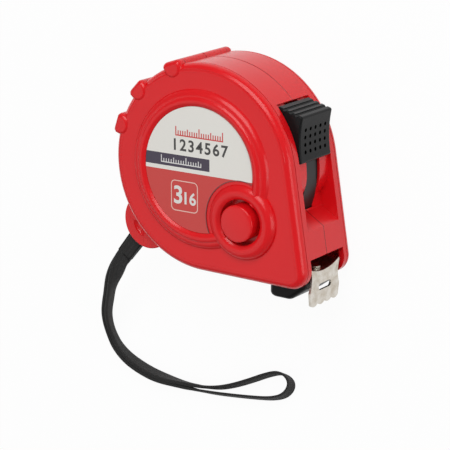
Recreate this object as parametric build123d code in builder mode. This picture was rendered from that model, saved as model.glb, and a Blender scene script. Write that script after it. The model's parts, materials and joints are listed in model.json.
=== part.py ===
from build123d import *
import os
from math import asin, atan2, cos, degrees, pi, radians, sin, sqrt, tan

# A 3 m pocket tape measure as separate named pieces, in millimetres. It lies on its plain back: X points
# the way the blade runs out, Y is up when the case is held, Z points up from the table to the label.
# The drum turns about the Z axis, and the table is Z = 0.

os.makedirs("parts", exist_ok=True)

# Case: a round body with a leaning front and a straight foot line
case_radius = 31.8
case_width = 27.5
front_lean = 10.0
corner_radius = 5.5
wall = 1.8
edge_round = 2.5
crease_width = 0.3
crease_depth = 0.18
crease_margin = 0.05
seam_bevel = 0.22
merge = 0.5
same_radius = 0.005

# Raised disc on each side: two beads round the label, one round the plain back
disc_inset = 7.5
disc_height = 1.5
outer_bead_width = 2.2
outer_bead_rise = 1.35
outer_bead_bulge = 0.35
inner_bead_rise = 1.5
inner_bead_bulge = 0.5
inner_bead_edge = 0.4
back_bead_width = 1.7
back_bead_bulge = 0.35

# Label
label_inset = 5.1
label_seat_rise = 0.9
label_thickness = 0.3
label_gap = 0.12
label_notch_gap = 0.7

# Brake button and its collar
button_inset = 11.35
button_angle = -41.13
button_radius = 5.6
button_rise = 4.1
button_dome = 0.5
button_edge = 0.5
button_hole_gap = 1.45
button_flange_overlap = 1.25
button_flange_thickness = 0.8
button_rest_gap = 0.1
collar_width = 4.65
collar_crown_inset = 2.0
collar_crown_rise = 2.15
collar_lip_rise = 1.6
stud_radius = 1.2
pad_radius = 3.6
pad_thickness = 0.5

# Button spring: a flat leaf staked to the case near the mouth
leaf_thickness = 0.3
leaf_width = 4.0
stake_rise = 1.89
stake_angle = -38.13
stake_radius = 1.2
stake_seat_radius = 2.6
stake_length = 0.7
leaf_hole_gap = 0.1

# Thumb grips on the rim
grip_angles = (110.0, 138.0, 162.0)
grip_root = 3.9
grip_rise = 1.5
grip_width = 6.8
grip_proud = 0.4
grip_round = 1.5
grip_corner = 1.7

# Strap lug: two ears with a slot between them, a peg across it and a shallow dish on each ear
lug_angle = 220.5
lug_rise = 2.67
lug_radius = 8.9
ear_thickness = 2.5
lug_slot = 4.0
ear_round = 0.6
dish_length = 7.8
dish_half = 1.5
dish_depth = 0.8
peg_rise = 6.92
peg_radius = 1.5
peg_depth = 1.4
peg_gap = 0.05

# Thumb lock, whose outline is set by angles about the drum axis and rises above the rim
lock_width = 16.8
lock_side_gap = 0.25
lock_back_angle = 42.0
lock_back_rise = 0.1
lock_nose_angle = 31.0
lock_nose_rise = 5.4
lock_waist_angle = 21.0
lock_waist_rise = 1.6
lock_toe_angle = 9.2
lock_toe_rise = 0.5
lock_heel_angle = 9.2
lock_round = 0.7
lock_side_round = 0.6
ridge_groove_radius = 0.6
ridge_count = 3
dimple_radius = 0.55
dimple_depth = 0.4
dimple_pitch_y = 2.2
dimple_pitch_z = 2.7
dimple_rows = 4
dimple_columns = 5
dimple_drop = 0.4
lock_pad_margin = 3.0
lock_peg_angle = 25.0
lock_peg_radius = 1.2
lock_peg_length = 1.0
lock_peg_gap = 0.05

# Lock arm, a curved strip that goes from the thumb lock down to the blade
arm_drop = 0.65
arm_thickness = 1.3
arm_width = 6.6
arm_top_angle = 38.0
arm_tip_angle = -53.0
arm_gap = 0.3

# Channel for the thumb lock: a round track with a slot for the arm, a deeper recess and a sloping ledge
track_depth = 0.9
track_gap = 0.1
channel_top_angle = 43.5
channel_wall = 1.3
nose_radius = 9.5
recess_depth = 5.4
lip_y = -14.6
ledge_slope = 31.0
ledge_round = 1.0
track_slot_angle = -12.0
arm_slot_angle = -28.0

# Drum, mainspring and spindle
hub_inset = 8.4
hub_wall = 1.5
drum_floor = 1.0
drum_gap = 0.25
drum_flange_width = 2.4
cover_thickness = 0.5
cover_overlap = 0.8
cover_gap = 0.05
coil_gap = 0.03
spindle_radius = 3.6
spindle_gap = 0.06
spindle_slot = 0.8
spindle_boss_wall = 2.0
spindle_boss_height = 1.2
spring_thickness = 0.3
spring_height = 14.0
spring_turns = 6
spring_inner = 4.4
spring_outer_gap = 0.6
spring_tail_bend = 0.8

# Blade
tape_length = 3000.0
blade_width = 16.0
blade_thickness = 0.15
wound_thickness = 0.14
blade_drop = 0.8
blade_sag = 1.6
blade_flat_x = 1.0
blade_full_x = 9.5
blade_end_gap = 0.3

# Hook with a scalloped edge, set back from the corner of the front, and its rivets
hook_inset = 2.7
hook_thickness = 0.7
hook_bend = 0.6
hook_flange_length = 8.6
hook_half = 8.5
hook_waist_half = 7.3
hook_waist_drop = 3.3
hook_ear_half = 8.2
hook_ear_drop = 6.7
hook_low_half = 7.7
hook_low_drop = 10.4
hook_teeth = 4
hook_tooth_bulge = 0.8
hook_slot_length = 7.0
hook_slot_width = 2.0
hook_slot_drop = 5.7
hook_gap = 0.05
hook_play = 0.8
rivet_insets = (6.9, 3.0)
rivet_radius = 1.0
rivet_head_radius = 1.7
rivet_head_height = 0.5
rivet_gap = 0.06
rivet_seat_gap = 0.12

# Mouth, anvil under the blade, and bumper foot
mouth_rise = 4.0
mouth_side_gap = 0.8
mouth_back_gap = 0.6
anvil_gap = 0.4
anvil_length = 7.0
anvil_width = 16.0
anvil_clearance = 2.0
foot_gap = 0.1
foot_hook_gap = 0.5
foot_blade_gap = 0.35
foot_length = 13.5
foot_drop = 4.7
foot_slope_length = 5.5
foot_slope_rise = 4.2
foot_heel_length = 3.6
foot_corner = 3.2
foot_sole_bend = 3.5
foot_sole_round = 1.5

# Screws through the back half
screw_inset = 3.9
screw_angles = (100.0, 172.0, 250.0)
front_screw_inset = 4.4
front_screw_rise = 3.4
boss_radius = 1.6
screw_radius = 0.8
screw_head_radius = 1.5
screw_head_height = 1.2
screw_head_depth = 1.4
screw_length = 18.0
screw_gap = 0.1
cross_length = 1.8
cross_width = 0.5
cross_depth = 0.6

# Strap: a flat band, doubled from the tab to where it opens into a loop on the table
band_width = 4.5
band_thickness = 1.3
ply_pitch = 1.7
tab_width = 5.9
tab_thickness = 3.4
tab_end_x = -38.2
tab_end_y = -36.4
neck_gap = 0.05
neck_points = (
    (-40.9, -39.6, 14.5),
    (-44.9, -45.0, 12.2),
    (-48.5, -50.6, 9.6),
    (-51.4, -56.2, 7.0),
    (-53.3, -61.6, 4.9),
    (-53.9, -66.4, 3.1),
)
doubled_points = (
    (-53.2, -70.4),
    (-51.0, -73.6),
    (-46.9, -76.8),
    (-40.7, -79.4),
    (-33.4, -81.0),
    (-25.8, -81.5),
    (-19.0, -81.3),
)
loop_points = (
    (-11.0, -81.35),
    (-2.6, -80.2),
    (4.6, -78.9),
    (9.9, -77.6),
    (14.2, -75.9),
    (16.9, -73.6),
    (17.6, -71.1),
    (16.3, -69.1),
    (13.2, -68.4),
    (8.4, -70.0),
    (2.0, -73.3),
    (-5.0, -76.5),
    (-12.0, -79.0),
)
bend_share = 0.45

# Levels along Z that follow from the sizes above
half_width = case_width / 2
back_face = disc_height
mid = back_face + half_width
label_face = back_face + case_width
inner_back = back_face + wall
inner_label = label_face - wall
seat_level = label_face + label_seat_rise
label_top = seat_level + label_thickness
flange_top = inner_label - button_rest_gap
leaf_top = flange_top - button_flange_thickness
leaf_low = leaf_top - leaf_thickness
pad_low = leaf_low - pad_thickness
blade_low = mid - blade_width / 2
blade_high = mid + blade_width / 2
drum_low = blade_low - drum_gap - drum_floor
drum_high = blade_high + cover_gap

# Radii about the drum axis and about the button
disc_radius = case_radius - disc_inset
label_radius = disc_radius - label_inset
bead_crease_radius = disc_radius - outer_bead_width
button_hole_radius = button_radius + button_hole_gap
button_flange_radius = button_hole_radius + button_flange_overlap
collar_radius = button_hole_radius + collar_width
track_radius = case_radius - track_depth
lock_seat = track_radius + track_gap
arm_outer = track_radius - arm_drop
arm_inner = arm_outer - arm_thickness
channel_width = lock_width + 2 * lock_side_gap
mouth_width = lock_width + 2 * mouth_side_gap
hub_radius = case_radius - hub_inset
coil_radius = sqrt(hub_radius**2 + tape_length * wound_thickness / pi)
outside = 2 * case_radius


def polar(radius, angle):
    """Point in the side view at a radius and an angle about the drum axis."""
    return Vector(radius * cos(radians(angle)), radius * sin(radians(angle)))


def front_x(y):
    """X of the leaning front at the height y."""
    lean = radians(front_lean)
    return (case_radius - y * sin(lean)) / cos(lean)


# Heights of the blade, places along it from the front's lower corner back, and places about the drum axis
blade_edge_y = -coil_radius - blade_drop
blade_bend = ((blade_width / 2) ** 2 + blade_sag**2) / (2 * blade_sag)
blade_axis_y = blade_edge_y - blade_sag + blade_bend
blade_half_angle = degrees(asin(blade_width / 2 / blade_bend))
blade_top_y = blade_axis_y - blade_bend
blade_under_y = blade_top_y - blade_thickness
hook_back = front_x(-case_radius) - hook_inset
blade_end_x = hook_back - blade_end_gap
rivet_spots = [hook_back - inset for inset in rivet_insets]
mouth_top = blade_edge_y + mouth_rise
foot_front = hook_back - foot_hook_gap
foot_back = foot_front - foot_length
foot_top = blade_under_y - hook_gap - rivet_head_height - foot_blade_gap
foot_width = mouth_width - 2 * foot_gap
mouth_back = foot_back - mouth_back_gap
anvil_end = mouth_back - foot_heel_length - anvil_clearance
anvil_top = blade_under_y - anvil_gap
button_centre = polar(case_radius - button_inset, button_angle)
button_axis = Axis(button_centre, (0, 0, 1))
button_plane = Plane(origin=button_centre, x_dir=(1, 0, 0), z_dir=(0, -1, 0))
stake_centre = polar(case_radius + stake_rise, stake_angle)
lug_centre = polar(case_radius + lug_rise, lug_angle)
peg_centre = polar(case_radius + peg_rise, lug_angle)
front_screw_y = mouth_top + front_screw_rise
screw_spots = [polar(case_radius - screw_inset, angle) for angle in screw_angles]
screw_spots.append(Vector(front_x(front_screw_y) - front_screw_inset, front_screw_y))


def case_outline(inset):
    """Side view of the case, drawn in by inset on all sides."""
    lean = radians(front_lean)
    radius = case_radius - inset
    foot = (radius * (1 + sin(lean)) / cos(lean), -radius)
    with BuildSketch(mode=Mode.PRIVATE) as face:
        with BuildLine():
            round_part = CenterArc((0, 0), radius, front_lean, 270 - front_lean)
            Line(round_part @ 1, foot)
            Line(foot, round_part @ 0)
        make_face()
        low_points = face.vertices().group_by(Axis.Y)[0]
        fillet(low_points.sort_by(Axis.X)[-1], corner_radius - inset)
    return face.sketch


def ring_sector(inner, outer, start, end):
    """Part of a flat ring about the drum axis, between two angles."""
    with BuildSketch(mode=Mode.PRIVATE) as face:
        with BuildLine():
            rim = CenterArc((0, 0), outer, start, end - start)
            bore = CenterArc((0, 0), inner, start, end - start)
            Line(rim @ 0, bore @ 0)
            Line(rim @ 1, bore @ 1)
        make_face()
    return face.sketch


def channel_face():
    """Side view of the open channel: the lock's track, a rounded nose, a straight back and a sloping ledge."""
    lean = radians(front_lean)
    slope = radians(ledge_slope)
    outward = Vector(cos(lean), sin(lean))
    down = Vector(sin(lean), -cos(lean))
    nose_centre = Vector(track_radius - nose_radius, 0)
    reach = case_radius - recess_depth - nose_centre.dot(outward)
    nose_end = nose_centre + outward * reach + down * sqrt(nose_radius**2 - reach**2)
    nose_turn = degrees(atan2(nose_end.Y, nose_end.X - nose_centre.X))
    lip = Vector(front_x(lip_y), lip_y)
    inner = lip + Vector(-cos(slope), sin(slope)) * (recess_depth / cos(slope + lean))
    low_end = (outside, lip.Y - (outside - lip.X) * tan(slope))
    with BuildSketch(mode=Mode.PRIVATE) as face:
        with BuildLine():
            track = CenterArc((0, 0), track_radius, 0, channel_top_angle)
            nose = CenterArc(nose_centre, nose_radius, nose_turn, -nose_turn)
            Polyline(nose @ 0, inner, low_end, polar(outside, channel_top_angle), track @ 1)
        make_face()
        fillet(face.vertices().sort_by_distance(inner)[0], ledge_round)
    return face.sketch


def blade_section(thickness, half_angle, bend):
    """Cross-section of a strip bent to the blade's hollow, with its upper face at the bend radius."""
    start = 180 - half_angle
    with BuildSketch(mode=Mode.PRIVATE) as face:
        with BuildLine():
            upper = CenterArc((blade_axis_y, 0), bend, start, 2 * half_angle)
            lower = CenterArc((blade_axis_y, 0), bend + thickness, start, 2 * half_angle)
            Line(upper @ 0, lower @ 0)
            Line(upper @ 1, lower @ 1)
        make_face()
    return face.sketch


def cross_plane(x):
    """Plane across the blade at x: its first axis is up the case, its second across the blade."""
    return Plane(origin=(x, 0, mid), x_dir=(0, 1, 0), z_dir=(1, 0, 0))


def level_plane(x, y, up):
    """Plane through a point of the blade's middle, facing up or down the case."""
    return Plane(origin=(x, y, mid), x_dir=(1, 0, 0), z_dir=(0, up, 0))


def bend_radii(points):
    """Bend at each corner of a route, as large as the shorter of its two runs allows."""
    radii = []
    for before, corner, after in zip(points, points[1:], points[2:]):
        run_in = Vector(*corner) - Vector(*before)
        run_out = Vector(*after) - Vector(*corner)
        turn = radians(run_in.get_angle(run_out))
        radii.append(bend_share * min(run_in.length, run_out.length) / tan(turn / 2))
    return radii


def ply_route(shift):
    """The doubled band's route, moved to its left by shift."""
    moved = []
    for index, point in enumerate(doubled_points):
        before = doubled_points[max(index - 1, 0)]
        after = doubled_points[min(index + 1, len(doubled_points) - 1)]
        ahead = (Vector(*after) - Vector(*before)).normalized()
        moved.append((point[0] - ahead.Y * shift, point[1] + ahead.X * shift))
    return moved


# One thumb grip, pointing along X, from the parting plane to the side
grip_inner = case_radius - grip_root
grip_outer = case_radius + grip_rise
with BuildPart() as grip:
    with BuildSketch() as tongue:
        with BuildLine():
            tip = CenterArc((grip_inner + grip_width / 2, 0), grip_width / 2, 90, 180)
            Polyline(tip @ 1, (grip_outer, -grip_width / 2), (grip_outer, grip_width / 2), tip @ 0)
        make_face()
        fillet(tongue.vertices().group_by(Axis.X)[-1], grip_corner)
    extrude(amount=half_width + grip_proud)
    fillet(grip.faces().sort_by(Axis.Z)[-1].edges(), grip_round)
    chamfer(grip.faces().sort_by(Axis.Z)[0].edges(), seam_bevel)

# What the two case halves share, with the parting plane at Z = 0
with BuildPart() as half_case:
    with BuildSketch():
        add(case_outline(0))
    extrude(amount=half_width)
    fillet(half_case.faces().sort_by(Axis.Z)[-1].edges(), edge_round)
    chamfer(half_case.faces().sort_by(Axis.Z)[0].edges(), seam_bevel)
    # creases that set the rounded edge off from the side and the rim
    with BuildSketch(Plane.XY.offset(half_width)):
        add(case_outline(edge_round + crease_margin))
        add(case_outline(edge_round + crease_margin + crease_width), mode=Mode.SUBTRACT)
    extrude(amount=-crease_depth, mode=Mode.SUBTRACT)
    with BuildSketch(Plane.XY.offset(half_width - edge_round - crease_margin)):
        add(case_outline(-merge))
        add(case_outline(crease_depth), mode=Mode.SUBTRACT)
    extrude(amount=-crease_width, mode=Mode.SUBTRACT)
    # grips and the ear of the lug
    for angle in grip_angles:
        with Locations(Location((0, 0, 0), (0, 0, angle))):
            add(grip.part)
    with BuildSketch(Plane.XY.offset(lug_slot / 2)):
        with Locations(lug_centre):
            Circle(lug_radius)
    extrude(amount=ear_thickness)
    ear_edges = half_case.edges().filter_by(GeomType.CIRCLE)
    fillet([edge for edge in ear_edges if abs(edge.radius - lug_radius) < same_radius], ear_round)
    dish_level = lug_slot / 2 + ear_thickness + dish_half - dish_depth
    dish_axis = Vector(-sin(radians(lug_angle)), cos(radians(lug_angle)))
    dish_plane = Plane(origin=peg_centre + Vector(0, 0, dish_level), x_dir=dish_axis, z_dir=(0, 0, 1))
    with BuildSketch(dish_plane):
        with BuildLine():
            ThreePointArc((-dish_length / 2, 0), (0, dish_half), (dish_length / 2, 0))
            Line((dish_length / 2, 0), (-dish_length / 2, 0))
        make_face()
    revolve(axis=Axis(dish_plane.origin, dish_axis), mode=Mode.SUBTRACT)
    # hollow inside
    with BuildSketch():
        add(case_outline(wall))
    extrude(amount=half_width - wall, mode=Mode.SUBTRACT)
    with BuildSketch():
        with Locations(peg_centre):
            Circle(peg_radius + peg_gap)
    extrude(amount=lug_slot / 2 + peg_depth, mode=Mode.SUBTRACT)
    # channel for the thumb lock, with the slot that its arm goes down through
    with BuildSketch():
        add(channel_face())
        offset(amount=channel_wall, kind=Kind.INTERSECTION)
        add(case_outline(wall / 2), mode=Mode.INTERSECT)
    extrude(amount=channel_width / 2 + channel_wall)
    with BuildSketch():
        add(channel_face())
    extrude(amount=channel_width / 2, mode=Mode.SUBTRACT)
    with BuildSketch():
        add(ring_sector(arm_inner - arm_gap, arm_outer + arm_gap, arm_slot_angle, track_slot_angle))
        add(ring_sector(arm_inner - arm_gap, track_radius + arm_gap, track_slot_angle, channel_top_angle))
    extrude(amount=arm_width / 2 + arm_gap, mode=Mode.SUBTRACT)
    # mouth, open below for the foot
    with BuildSketch():
        with Locations(((mouth_back + outside) / 2, (mouth_top - outside) / 2)):
            Rectangle(outside - mouth_back, mouth_top + outside)
    extrude(amount=mouth_width / 2, mode=Mode.SUBTRACT)
    # anvil under the blade, screw posts and the spindle's boss
    with BuildSketch():
        with Locations((anvil_end - anvil_length / 2, (anvil_top - case_radius + wall / 2) / 2)):
            Rectangle(anvil_length, anvil_top + case_radius - wall / 2)
    extrude(amount=anvil_width / 2)
    with BuildSketch():
        with Locations(*screw_spots):
            Circle(boss_radius)
    extrude(amount=half_width - wall / 2)
    with BuildSketch(Plane.XY.offset(half_width - wall - spindle_boss_height)):
        Circle(spindle_radius + spindle_gap + spindle_boss_wall)
        Circle(spindle_radius + spindle_gap, mode=Mode.SUBTRACT)
    extrude(amount=spindle_boss_height + wall / 2)

# Label-side half of the case
with BuildPart() as label_side_case:
    with Locations((0, 0, mid)):
        add(half_case.part)
    with BuildSketch(Plane.XZ):
        with BuildLine():
            bead_crease = (bead_crease_radius, label_face + outer_bead_rise)
            label_wall = label_radius + label_gap
            outer_bead = SagittaArc((disc_radius, label_face), bead_crease, -outer_bead_bulge)
            inner_end = (label_wall + inner_bead_edge, label_face + inner_bead_rise)
            SagittaArc(bead_crease, inner_end, -inner_bead_bulge)
            Polyline(
                inner_end,
                (label_wall, label_top),
                (label_wall, seat_level),
                (0, seat_level),
                (0, label_face - merge),
                (disc_radius, label_face - merge),
                outer_bead @ 0,
            )
        make_face()
    revolve(axis=Axis.Z)
    with BuildSketch(button_plane):
        with BuildLine():
            collar = ThreePointArc(
                (collar_radius, label_face),
                (collar_radius - collar_crown_inset, label_face + collar_crown_rise),
                (button_hole_radius, label_face + collar_lip_rise),
            )
            Polyline(
                collar @ 1,
                (button_hole_radius, label_face - merge),
                (collar_radius, label_face - merge),
                collar @ 0,
            )
        make_face()
    revolve(axis=button_axis)
    with BuildSketch(Plane.XY.offset(inner_label - merge)):
        with Locations(button_centre):
            Circle(button_hole_radius)
    extrude(amount=case_width, mode=Mode.SUBTRACT)
    with BuildSketch(Plane.XY.offset(leaf_top)):
        with Locations(stake_centre):
            Circle(stake_seat_radius)
    extrude(amount=inner_label - leaf_top + wall / 2)
    with BuildSketch(Plane.XY.offset(leaf_low - stake_length)):
        with Locations(stake_centre):
            Circle(stake_radius)
    extrude(amount=leaf_top - leaf_low + stake_length)
    with BuildSketch(Plane.XY.offset(mid)):
        with Locations(*screw_spots):
            Circle(screw_radius)
    extrude(amount=screw_length / 2, mode=Mode.SUBTRACT)
label_side_case.part.label = "label_side_case"
export_step(label_side_case.part, "parts/label_side_case.step")

# Back half of the case, with the plain disc that it rests on
with BuildPart() as back_side_case:
    with Locations((0, 0, mid)):
        add(mirror(half_case.part, about=Plane.XY, mode=Mode.PRIVATE))
    with BuildSketch(Plane.XZ):
        with BuildLine():
            bead_end = (disc_radius - back_bead_width, 0)
            back_bead = SagittaArc((disc_radius, back_face), bead_end, back_bead_bulge)
            Polyline(
                back_bead @ 1,
                (0, 0),
                (0, back_face + merge),
                (disc_radius, back_face + merge),
                back_bead @ 0,
            )
        make_face()
    revolve(axis=Axis.Z)
    with BuildSketch(Plane.XY.offset(mid)):
        with Locations(*screw_spots):
            Circle(screw_radius + screw_gap)
    extrude(amount=-case_width, mode=Mode.SUBTRACT)
    with BuildSketch(Plane.XY.offset(back_face + screw_head_depth)):
        with Locations(*screw_spots):
            Circle(screw_head_radius + screw_gap)
    extrude(amount=-case_width, mode=Mode.SUBTRACT)
back_side_case.part.label = "back_side_case"
export_step(back_side_case.part, "parts/back_side_case.step")

# Label
with BuildPart() as label:
    with BuildSketch(Plane.XY.offset(seat_level)):
        Circle(label_radius)
        with Locations(button_centre):
            Circle(collar_radius + label_notch_gap, mode=Mode.SUBTRACT)
    extrude(amount=label_thickness)
label.part.label = "label"
export_step(label.part, "parts/label.step")

# Brake button
button_top = label_face + button_rise
button_rim = (button_radius, button_top - button_dome)
dome_bend = (button_radius**2 + button_dome**2) / (2 * button_dome)
dome_half = button_radius / 2
with BuildPart() as brake_button:
    with BuildSketch(button_plane) as button_side:
        with BuildLine():
            dome = ThreePointArc(
                (0, button_top),
                (dome_half, button_top - dome_bend + sqrt(dome_bend**2 - dome_half**2)),
                button_rim,
            )
            Polyline(
                button_rim,
                (button_radius, flange_top),
                (button_flange_radius, flange_top),
                (button_flange_radius, leaf_top),
                (0, leaf_top),
                dome @ 0,
            )
        make_face()
        fillet(button_side.vertices().sort_by_distance(button_rim)[0], button_edge)
    revolve(axis=button_axis)
    with BuildSketch(Plane.XY.offset(leaf_top)):
        with Locations(button_centre):
            Circle(stud_radius)
    extrude(amount=button_flange_thickness, mode=Mode.SUBTRACT)
brake_button.part.label = "brake_button"
export_step(brake_button.part, "parts/brake_button.step")

# Brake pad, with the stud that goes up through the leaf into the button
with BuildPart() as brake_pad:
    with BuildSketch(Plane.XY.offset(pad_low)):
        with Locations(button_centre):
            Circle(pad_radius)
    extrude(amount=pad_thickness)
    with BuildSketch(Plane.XY.offset(leaf_low)):
        with Locations(button_centre):
            Circle(stud_radius)
    extrude(amount=leaf_thickness + button_flange_thickness)
brake_pad.part.label = "brake_pad"
export_step(brake_pad.part, "parts/brake_pad.step")

# Button spring
leaf_run = stake_centre - button_centre
with BuildPart() as button_spring:
    with BuildSketch(Plane.XY.offset(leaf_low)):
        with Locations((button_centre + stake_centre) / 2):
            SlotCenterToCenter(leaf_run.length, leaf_width, rotation=degrees(atan2(leaf_run.Y, leaf_run.X)))
        with Locations(button_centre):
            Circle(stud_radius + leaf_hole_gap, mode=Mode.SUBTRACT)
        with Locations(stake_centre):
            Circle(stake_radius + leaf_hole_gap, mode=Mode.SUBTRACT)
    extrude(amount=leaf_thickness)
button_spring.part.label = "button_spring"
export_step(button_spring.part, "parts/button_spring.step")

# Thumb lock
lock_back = polar(case_radius + lock_back_rise, lock_back_angle)
lock_nose = polar(case_radius + lock_nose_rise, lock_nose_angle)
lock_waist = polar(case_radius + lock_waist_rise, lock_waist_angle)
lock_toe = polar(case_radius + lock_toe_rise, lock_toe_angle)
pad_low_angle = lock_heel_angle + lock_pad_margin
pad_high_angle = arm_top_angle - lock_pad_margin
lock_outward = polar(1, lock_peg_angle)
lock_peg_plane = Plane(origin=lock_outward * (arm_outer + merge) + Vector(0, 0, mid), z_dir=-lock_outward)
with BuildPart() as thumb_lock:
    with BuildSketch(Plane.XY.offset(mid)) as lock_side:
        with BuildLine():
            seat = CenterArc((0, 0), lock_seat, lock_heel_angle, lock_back_angle - lock_heel_angle)
            ThreePointArc(lock_toe, lock_waist, lock_nose)
            Polyline(seat @ 1, lock_back, lock_nose)
            Line(lock_toe, seat @ 0)
        make_face()
        fillet(lock_side.vertices().sort_by_distance(lock_nose)[0], lock_round)
        fillet(lock_side.vertices().sort_by_distance(lock_toe)[0], lock_round)
    extrude(amount=lock_width / 2, both=True)
    outer_ends = [
        edge
        for face in thumb_lock.faces().filter_by(Axis.Z)
        for edge in face.edges()
        if edge.center().X > lock_waist.X - 2 * lock_round or edge.center().Y > lock_nose.Y
    ]
    fillet(outer_ends, lock_side_round)
    # grooves between the ridges of the sloping top
    for index in range(ridge_count):
        spot = lock_back + (lock_nose - lock_back) * ((index + 1) / (ridge_count + 1))
        with Locations((spot.X, spot.Y, mid)):
            Cylinder(ridge_groove_radius, 2 * lock_width, mode=Mode.SUBTRACT)
    # dimples on the front
    with BuildSketch(cross_plane(lock_nose.X + merge)):
        with Locations((lock_waist.Y - dimple_drop, 0)):
            with GridLocations(dimple_pitch_y, dimple_pitch_z, dimple_rows, dimple_columns):
                Circle(dimple_radius)
    extrude(amount=-(lock_nose.X + merge - lock_waist.X + dimple_depth), mode=Mode.SUBTRACT)
    # pad that rests on the arm, and the peg that snaps into it
    with BuildSketch(Plane.XY.offset(mid)):
        add(ring_sector(arm_outer, lock_seat + merge, pad_low_angle, pad_high_angle))
    extrude(amount=arm_width / 2, both=True)
    with BuildSketch(lock_peg_plane):
        Circle(lock_peg_radius)
    extrude(amount=merge + lock_peg_length)
thumb_lock.part.label = "thumb_lock"
export_step(thumb_lock.part, "parts/thumb_lock.step")

# Lock arm: a curved strip whose tip presses on the blade
with BuildPart() as lock_arm:
    with BuildSketch(Plane.XY.offset(mid - arm_width / 2)):
        add(ring_sector(arm_inner, arm_outer, arm_tip_angle, arm_top_angle))
    extrude(amount=arm_width)
    with BuildSketch(lock_peg_plane):
        Circle(lock_peg_radius + lock_peg_gap)
    extrude(amount=2 * merge + arm_thickness, mode=Mode.SUBTRACT)
lock_arm.part.label = "lock_arm"
export_step(lock_arm.part, "parts/lock_arm.step")

# Bumper foot: a block in the mouth, hooked over the case floor, with a rounded sole below
heel_low = -case_radius + wall + foot_gap / 2
foot_sole = -case_radius - foot_drop
with BuildPart() as bumper_foot:
    with BuildSketch(Plane.XY.offset(mid)) as foot_side:
        with BuildLine():
            Polyline(
                (foot_back, -case_radius),
                (foot_back, foot_sole),
                (foot_front - foot_slope_length, foot_sole),
                (foot_front, foot_sole + foot_slope_rise),
                (foot_front, -case_radius),
                close=True,
            )
        make_face()
        sole_end = (foot_front - foot_slope_length, foot_sole)
        fillet(foot_side.vertices().sort_by_distance(sole_end)[0], foot_sole_bend)
    extrude(amount=foot_width / 2, both=True)
    fillet(bumper_foot.edges().filter_by(Axis.Y).group_by(Axis.X)[0], foot_corner)
    foot_edges = bumper_foot.edges()
    uprights = foot_edges.filter_by(Axis.Y)
    bends = foot_edges.filter_by(Axis.Z).filter_by_position(Axis.X, foot_back + merge, foot_front + merge)
    top_rim = bumper_foot.faces().sort_by(Axis.Y)[-1].edges()
    fillet(foot_edges - uprights - bends - top_rim, foot_sole_round)
    with BuildSketch(Plane.XY.offset(mid)):
        with BuildLine():
            Polyline(
                (mouth_back - foot_heel_length, heel_low),
                (mouth_back - foot_heel_length, foot_top),
                (foot_front, foot_top),
                (foot_front, -case_radius),
                (mouth_back + foot_gap, -case_radius),
                (mouth_back + foot_gap, heel_low),
                close=True,
            )
        make_face()
    extrude(amount=foot_width / 2, both=True)
bumper_foot.part.label = "bumper_foot"
export_step(bumper_foot.part, "parts/bumper_foot.step")

# Blade from the coil to the hook: flat where it leaves the coil, hollow from there on
with BuildPart() as tape_blade:
    with BuildSketch(cross_plane(blade_flat_x)):
        with Locations((-coil_radius - blade_thickness, 0)):
            Rectangle(blade_thickness, blade_width)
    with BuildSketch(cross_plane(blade_full_x)):
        add(blade_section(blade_thickness, blade_half_angle, blade_bend))
    loft()
    with BuildSketch(cross_plane(blade_full_x)):
        add(blade_section(blade_thickness, blade_half_angle, blade_bend))
    extrude(amount=blade_end_x - blade_full_x)
    with BuildSketch(Plane.XZ):
        with Locations(*[(spot, mid) for spot in rivet_spots]):
            Circle(rivet_radius + rivet_gap)
    extrude(amount=case_radius, mode=Mode.SUBTRACT)
tape_blade.part.label = "tape_blade"
export_step(tape_blade.part, "parts/tape_blade.step")

# End hook: a plate with a scalloped edge, its upper edge bent back into a flange in the blade's hollow
flange_bend = blade_bend - hook_gap - hook_thickness
plate_half_angle = degrees(asin((hook_half + merge) / flange_bend))
plate_top = blade_edge_y + hook_thickness + merge
plate_low = blade_edge_y - hook_low_drop
with BuildPart() as end_hook:
    with BuildSketch(cross_plane(hook_back)):
        add(blade_section(2 * hook_low_drop, plate_half_angle, flange_bend))
    extrude(amount=hook_thickness)
    front_arcs = end_hook.edges().filter_by(GeomType.CIRCLE).group_by(Axis.X)[-1]
    fillet(front_arcs.sort_by(SortBy.RADIUS)[0], hook_bend)
    with BuildSketch(cross_plane(hook_back)):
        with BuildLine():
            Line((plate_top, hook_half), (plate_top, -hook_half))
            for side in (1, -1):
                waist = (blade_edge_y - hook_waist_drop, side * hook_waist_half)
                ear = (blade_edge_y - hook_ear_drop, side * hook_ear_half)
                ThreePointArc((plate_top, side * hook_half), waist, ear)
                Line(ear, (plate_low, side * hook_low_half))
            tooth_half = hook_low_half / hook_teeth
            for index in range(hook_teeth):
                across = hook_low_half - (2 * index + 1) * tooth_half
                ThreePointArc(
                    (plate_low, across + tooth_half),
                    (plate_low - hook_tooth_bulge, across),
                    (plate_low, across - tooth_half),
                )
        make_face()
        with Locations((blade_edge_y - hook_slot_drop, 0)):
            SlotOverall(hook_slot_length, hook_slot_width, rotation=90, mode=Mode.SUBTRACT)
    extrude(amount=hook_thickness, mode=Mode.INTERSECT)
    with BuildSketch(cross_plane(hook_back - hook_flange_length)):
        add(blade_section(hook_thickness, blade_half_angle, flange_bend))
    extrude(amount=hook_flange_length)
    with BuildSketch(Plane.XZ):
        with Locations(*[(spot - hook_play / 2, mid) for spot in rivet_spots]):
            SlotCenterToCenter(hook_play, 2 * (rivet_radius + rivet_gap))
    extrude(amount=case_radius, mode=Mode.SUBTRACT)
end_hook.part.label = "end_hook"
export_step(end_hook.part, "parts/end_hook.step")

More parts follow.
